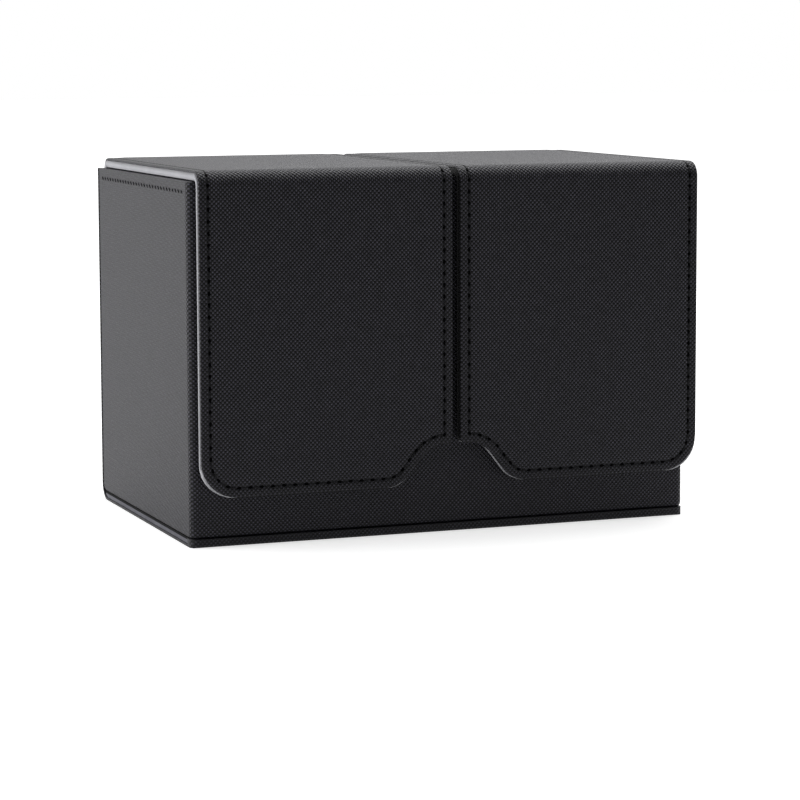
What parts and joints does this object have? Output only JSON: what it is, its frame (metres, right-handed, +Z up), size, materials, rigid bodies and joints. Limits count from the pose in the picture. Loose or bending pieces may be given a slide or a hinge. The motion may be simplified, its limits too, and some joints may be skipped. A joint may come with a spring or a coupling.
{
  "type": "playing card box with drawer",
  "caption": "Lined card box with twin card bays, two fold-over lids with magnetic front flaps, and a slim side drawer with a pull tab.",
  "frame": {"origin": "centre of the whole box's footprint at its underside", "axes": "+Z up, +Y towards the hinged back, -Y the front with the two flaps, +X the right wall that the drawer pulls out of"},
  "size_m": [0.154, 0.1, 0.105],
  "materials": {
    "leathercloth": "embossed matt",
    "cover_lining": "matt",
    "inner_lining": "napped",
    "board": "raw",
    "magnet": "nickel plated",
    "rivet": "polished"
  },
  "bodies": {
    "case": {"case_skin": "leathercloth", "front_wall_board": "board", "rear_wall_board": "board", "left_wall_board": "board", "right_wall_board": "board", "floor_board": "board", "centre_divider_board": "board", "drawer_partition_board": "board", "drawer_bay_cover_board": "board", "bay_lining": "inner_lining", "front_wall_magnets": "magnet", "drawer_catch_magnet": "magnet", "cover_skin": "leathercloth", "cover_lining": "cover_lining", "base_board": "board", "left_rear_fold_skin": "leathercloth", "left_rear_fold_lining": "cover_lining", "right_rear_fold_skin": "leathercloth", "right_rear_fold_lining": "cover_lining"},
    "left_lid": {"left_lid_skin": "leathercloth", "left_lid_lining": "cover_lining", "left_lid_board": "board", "left_front_fold_skin": "leathercloth", "left_front_fold_lining": "cover_lining"},
    "left_flap": {"left_flap_skin": "leathercloth", "left_flap_lining": "cover_lining", "left_flap_board": "board", "left_flap_magnets": "magnet"},
    "right_lid": {"right_lid_skin": "leathercloth", "right_lid_lining": "cover_lining", "right_lid_board": "board", "right_front_fold_skin": "leathercloth", "right_front_fold_lining": "cover_lining"},
    "right_flap": {"right_flap_skin": "leathercloth", "right_flap_lining": "cover_lining", "right_flap_board": "board", "right_flap_magnets": "magnet"},
    "drawer": {"drawer_floor_board": "board", "drawer_near_side_board": "board", "drawer_far_side_board": "board", "drawer_end_board": "board", "drawer_magnet": "magnet", "drawer_face_skin": "leathercloth", "drawer_face_board": "board", "drawer_lining": "inner_lining", "pull_tab": "leathercloth", "pull_tab_rivet": "rivet"}
  },
  "joints": [
    {"name": "left_lid_hinge", "type": "hinge", "parent": "case", "child": "left_lid", "pos_m": [0, 0.04933, 0.10433], "axis": [-1, 0, 0], "range_deg": [0, 180]},
    {"name": "left_flap_hinge", "type": "hinge", "parent": "left_lid", "child": "left_flap", "pos_m": [0, -0.04903, 0.10403], "axis": [-1, 0, 0], "range_deg": [0, 90]},
    {"name": "right_lid_hinge", "type": "hinge", "parent": "case", "child": "right_lid", "pos_m": [0, 0.04933, 0.10433], "axis": [-1, 0, 0], "range_deg": [0, 180]},
    {"name": "right_flap_hinge", "type": "hinge", "parent": "right_lid", "child": "right_flap", "pos_m": [0, -0.04903, 0.10403], "axis": [-1, 0, 0], "range_deg": [0, 90]},
    {"name": "drawer_slide", "type": "slide", "parent": "case", "child": "drawer", "axis": [1, 0, 0], "range_m": [0, 0.115]}
  ]
}
